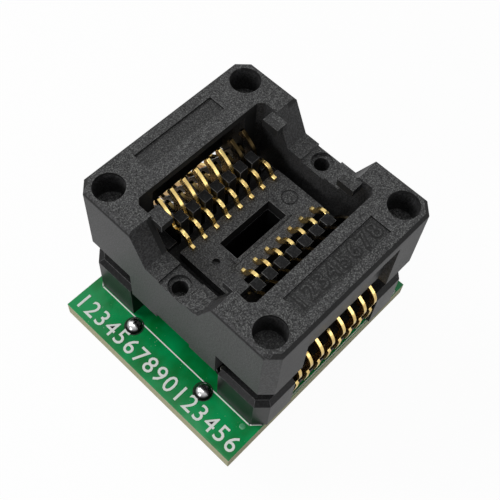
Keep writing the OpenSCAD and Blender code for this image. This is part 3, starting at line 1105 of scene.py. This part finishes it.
@dataclass
class AdapterBoard:
    """Board, pin strips, turned pins and solder, with the printed legend.

    Attributes:
        shop: The workshop.
        board_edge: Width of the board's edge rounding.
        strip_edge: Width of the pin strips'.
        fine: Faces narrower than this get a smaller radius.
        turned_angle: Edges of turned pieces above this angle, in degrees, stay sharp.
        film: Thickness of what is printed.
        line: Width of the outline.
        side_margin: From the board's sides to the outline.
        cut: Legs of the outline's cut corners.
        near_gap: How far the outline runs outside the cover at the legend.
        far_gap: The same at the far end.
        dot_place: The dot's place from the board's corner by the legend.
        dot_radii: The dot's radius below and above.
        number_count: How many digits the legend has.
        number_inset: From the board's edge to the middle of the digits.
        number_margin: From the board's sides to the middle of the first and last digit.
        number_height: Height of a digit.
        number_shape: Relief and widening of the digits.
        bead_radius: Radius of a solder bead.
        ring: Width of the painted dark reflection ring round a bead.
        ring_steps: Faces round it.
        merge: Points of it nearer than this are one.
    """

    shop: Workshop
    board_edge: float = 0.03 * MM
    strip_edge: float = 0.08 * MM
    fine: float = 0.3 * MM
    turned_angle: float = 40.0
    film: float = 0.012 * MM
    line: float = 0.1 * MM
    side_margin: float = 0.1 * MM
    cut: float = 0.75 * MM
    near_gap: float = 0.06 * MM
    far_gap: float = 0.1 * MM
    dot_place: Pair = (2.75 * MM, 1.15 * MM)
    dot_radii: Pair = (0.25 * MM, 0.18 * MM)
    number_count: int = 16
    number_inset: float = 1.1 * MM
    number_margin: float = 0.75 * MM
    number_height: float = 1.48 * MM
    number_shape: Pair = (0.018 * MM, 0.004)
    bead_radius: float = 0.75 * MM
    ring: float = 0.08 * MM
    ring_steps: int = 32
    merge: float = 0.002 * MM

    def build(self) -> None:
        """Dresses the board and everything soldered to it."""
        f = self.shop.finishes
        for node, material, slot, width in (
            ("board", f.board, "board_green", self.board_edge),
            ("pin_strip_left", f.strip, "strip_black", self.strip_edge),
            ("pin_strip_right", f.strip, "strip_black", self.strip_edge),
        ):
            self.shop.dress(node, "piece", material, slot, Body.ADAPTER, Rounding(width, self.fine))
        for node, material, slot in (
            ("pins_left", f.tin, "pin_tin"),
            ("pins_right", f.tin, "pin_tin"),
            ("pin_solder", f.solder, "solder"),
            ("tail_solder", f.solder, "solder"),
        ):
            self.shop.dress(node, "turned", material, slot, Body.ADAPTER, smooth=self.turned_angle)
        self._outline()
        self._dot()
        self._bead_rings()
        self._numbers()

    def _outline(self) -> None:
        """Prints the outline of the socket, with two cut corners at the legend."""
        low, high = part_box("board")
        cover_low, cover_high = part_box("cover")
        x0, x1 = cover_low.x - self.near_gap, cover_high.x + self.far_gap
        y0, y1 = low.y + self.side_margin, high.y - self.side_margin
        cut = self.cut
        route = [(x0, y1 - cut), (x0, y0 + cut), (x0 + cut, y0), (x1, y0), (x1, y1), (x0 + cut, y1)]
        bm = bmesh.new()
        for a, b in zip(route, route[1:] + route[:1]):
            self._stroke(bm, Vector((*a, high.z)), Vector((*b, high.z)))
        self.shop.finish(bm, "legend_outline", self.shop.finishes.legend, "board_green", Body.ADAPTER)

    def _stroke(self, bm: bmesh.types.BMesh, a: Vector, b: Vector) -> None:
        """Adds one printed line.

        Args:
            bm: The mesh that it is added to.
            a: Its start.
            b: Its end.
        """
        way = b - a
        turn = Matrix.Rotation(math.atan2(way.y, way.x), 4, "Z")
        size = Matrix.Diagonal((way.length + self.line, self.line, self.film, 1.0))
        middle = Matrix.Translation((a + b) / 2 + Vector((0, 0, self.film / 2)))
        bmesh.ops.create_cube(bm, size=1.0, matrix=middle @ turn @ size)

    def _dot(self) -> None:
        """Raises the small dot under the mask that marks the corner."""
        low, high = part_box("board")
        place = (low.x + self.dot_place[0], low.y + self.dot_place[1], high.z + self.film)
        bm = bmesh.new()
        bmesh.ops.create_cone(bm, cap_ends=True, segments=24, radius1=self.dot_radii[0],
                              radius2=self.dot_radii[1], depth=2 * self.film,
                              matrix=Matrix.Translation(place))
        self.shop.finish(bm, "board_dot", self.shop.finishes.dot, "board_green", Body.ADAPTER)

    def _bead_rings(self) -> None:
        """Lays a near-black ring round each of the two solder beads, a painted dark reflection."""
        low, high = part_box("pin_solder")
        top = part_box("board")[1].z
        bead = self.bead_radius
        size = Matrix.Diagonal((self.ring, 1.6 * self.film, 1.0, 1.0))
        upright = Matrix.Rotation(math.pi / 2, 4, "X")
        bm = bmesh.new()
        for y in (low.y + bead, high.y - bead):
            centre = Vector((low.x + bead, y, top))
            start = Matrix.Translation(centre + Vector((bead + self.ring / 2, 0, self.film)))
            section = bmesh.ops.create_grid(bm, x_segments=1, y_segments=1, size=0.5,
                                            matrix=start @ upright @ size)
            faces = [f for f in bm.faces if all(v in section["verts"] for v in f.verts)]
            bmesh.ops.spin(bm, geom=faces, cent=centre, axis=(0, 0, 1), angle=2 * math.pi,
                           steps=self.ring_steps, use_merge=True, use_duplicate=False)
        bmesh.ops.remove_doubles(bm, verts=bm.verts, dist=self.merge)
        bmesh.ops.recalc_face_normals(bm, faces=bm.faces)
        # Painted dark reflection: the rings take the near-black shade plastic.
        self.shop.finish(bm, "solder_bead_rings", self.shop.finishes.shade_black, "board_green", Body.ADAPTER)

    def _numbers(self) -> None:
        """Prints the row of digits along the board's edge."""
        low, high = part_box("board")
        numbers = Numbers(self.shop, self.shop.finishes.legend, "board_green", Body.ADAPTER,
                          self.number_height, *self.number_shape)
        step = (high.y - low.y - 2 * self.number_margin) / (self.number_count - 1)
        turn = Matrix.Rotation(-math.pi / 2, 4, "Z")
        for i in range(self.number_count):
            y = high.y - self.number_margin - step * i
            place = Matrix.Translation((low.x + self.number_inset, y, high.z + self.film))
            numbers.make(str((i + 1) % 10), f"legend_number_{i + 1}", place @ turn)


@dataclass
class RailNumbers:
    """Plain contact numbers, raised on the rail where such a socket is marked, with a painted shadow round
    each.

    Attributes:
        shop: The workshop.
        count: How many numbers.
        height: Height of a digit.
        span: From the middle of the first to the middle of the last.
        inset: From the cover's side to the middle of the digits.
        sunk: Depth of the rail's field.
        fill: Relief and widening of the digits themselves.
        edge: Relief and widening of the painted shadow round them.
    """

    shop: Workshop
    count: int = 8
    height: float = 1.32 * MM
    span: float = 7.9 * MM
    inset: float = 2.0 * MM
    sunk: float = 0.2 * MM
    fill: Pair = (0.05 * MM, -0.004)
    edge: Pair = (0.015 * MM, 0.068)

    def build(self) -> None:
        """Lays each number in the right rail's field, in the cover's black with a painted shadow round it."""
        f = self.shop.finishes
        low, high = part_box("cover")
        fill = Numbers(self.shop, f.cover, "cover_black", Body.COVER, self.height, *self.fill)
        # Painted shadow: a wider near-black copy of each number.
        edge = Numbers(self.shop, f.shade_black, "cover_black", Body.COVER, self.height, *self.edge)
        first = (low.x + high.x - self.span) / 2
        for i in range(self.count):
            x = first + self.span * i / (self.count - 1)
            place = Matrix.Translation((x, low.y + self.inset, high.z - self.sunk))
            fill.make(str(i + 1), f"rail_number_{i + 1}", place)
            edge.make(str(i + 1), f"rail_number_edge_{i + 1}", place)


# ---------------------------------------------------------------------------------------------
# Studio


@dataclass(frozen=True)
class Lamp:
    """A square lamp that faces the object.

    Attributes:
        name: Its name.
        at: Where it stands.
        size: Its side.
        watts: Its power.
    """

    name: str
    at: tuple[float, float, float]
    size: float
    watts: float

    def build(self, target: Vector) -> None:
        """Hangs the lamp.

        Args:
            target: The point that it faces.
        """
        data = bpy.data.lights.new(self.name, "AREA")
        data.size = self.size
        data.energy = self.watts
        lamp = bpy.data.objects.new(self.name, data)
        turn = (target - Vector(self.at)).to_track_quat("-Z", "Y").to_matrix().to_4x4()
        lamp.matrix_world = Matrix.Translation(self.at) @ turn
        bpy.context.scene.collection.objects.link(lamp)


@dataclass(frozen=True)
class Studio:
    """Floor, backdrop, lamps and camera.

    Attributes:
        target: The point that the camera and the lamps face.
        azimuth: Turn of the camera about the target, in degrees.
        elevation: Its height, in degrees.
        roll: Its roll, in degrees.
        distance: Its distance.
        lens: Its focal length, in millimetres.
        floor_half: Half of the floor's side.
        floor_glow: How white the floor is to the camera and in reflections.
        world_level: Strength of the world's light.
        world_extra: What the camera and reflections see more of it.
        lamps: The lamps.
    """

    target: tuple[float, float, float] = (-1.024 * MM, -1.07 * MM, 14.1 * MM)
    azimuth: float = -51.582
    elevation: float = 60.968
    roll: float = 6.153
    distance: float = 65.744 * MM
    lens: float = 63.1
    floor_half: float = 1.2
    floor_glow: Pair = (0.96, 0.45)
    world_level: float = 0.16
    world_extra: Pair = (0.84, 0.62)
    lamps: tuple[Lamp, ...] = (
        Lamp("lamp_key", (-0.1, 0.22, 0.26), 0.16, 0.6),
        Lamp("lamp_above", (0.0, 0.0, 0.34), 0.2, 0.16),
        Lamp("lamp_near", (-0.28, -0.02, 0.12), 0.14, 0.29),
        Lamp("lamp_side", (0.1, -0.3, 0.1), 0.14, 0.1),
    )

    def build(self) -> None:
        """Sets everything up."""
        self._floor()
        self._world()
        for lamp in self.lamps:
            lamp.build(Vector(self.target))
        self._camera()
        bpy.context.scene.view_settings.view_transform = "Standard"

    def _floor(self) -> None:
        """A pale floor that is white to the camera and takes the object's shadow."""
        bm = bmesh.new()
        bmesh.ops.create_grid(bm, x_segments=1, y_segments=1, size=self.floor_half,
                              matrix=Matrix.Translation((0.0, 0.0, CAD_BOX[0][2])))
        mesh = bpy.data.meshes.new("floor")
        bm.to_mesh(mesh)
        bm.free()
        floor = bpy.data.objects.new("floor", mesh)
        bpy.context.scene.collection.objects.link(floor)
        g = Graph(bpy.data.materials.new("floor_pale"))
        diffuse = g.node("ShaderNodeBsdfDiffuse", None, Color=(0.9, 0.9, 0.9))
        glow = g.node("ShaderNodeEmission", None, Color=(1.0, 1.0, 1.0), Strength=1.0)
        seen, reflected = self.floor_glow
        factor = (g.ray("Camera") * seen + g.ray("Glossy") * reflected).clamped()
        g.node("ShaderNodeOutputMaterial", None, g.node("ShaderNodeMixShader", None, factor, diffuse, glow))
        mesh.materials.append(g.owner)

    def _world(self) -> None:
        """A soft grey world that the camera sees as white."""
        world = bpy.data.worlds.new("studio")
        bpy.context.scene.world = world
        g = Graph(world)
        seen, reflected = self.world_extra
        strength = g.ray("Camera") * seen + g.ray("Glossy") * reflected + self.world_level
        back = g.node("ShaderNodeBackground", None, Color=(1.0, 1.0, 1.0), Strength=strength)
        g.node("ShaderNodeOutputWorld", None, back)

    def _camera(self) -> None:
        """Places the camera by its turn, height and roll about the target."""
        az, el, roll = (math.radians(a) for a in (self.azimuth, self.elevation, self.roll))
        back = Vector((math.sin(az) * math.cos(el), -math.cos(az) * math.cos(el), math.sin(el)))
        level = Vector((math.cos(az), math.sin(az), 0.0))
        rise = back.cross(level)
        right = math.cos(roll) * level + math.sin(roll) * rise
        up = math.cos(roll) * rise - math.sin(roll) * level
        data = bpy.data.cameras.new("camera")
        data.lens = self.lens
        data.sensor_width = 36.0
        data.clip_start = 5.0 * MM
        camera = bpy.data.objects.new("camera", data)
        turn = Matrix((right, up, back)).transposed().to_4x4()
        camera.matrix_world = Matrix.Translation(Vector(self.target) + self.distance * back) @ turn
        bpy.context.scene.collection.objects.link(camera)
        bpy.context.scene.camera = camera


def main() -> None:
    """Builds the object's pieces in order, then the studio."""
    logging.basicConfig(level=logging.INFO, format="%(message)s")
    shop = Workshop(Finishes.build())
    for part in (Mouldings(shop), Contacts(shop), ReturnSprings(shop), AdapterBoard(shop), RailNumbers(shop)):
        part.build()
    Studio().build()
    LOG.info("%d pieces", shop.count)


if __name__ == "__main__":
    main()
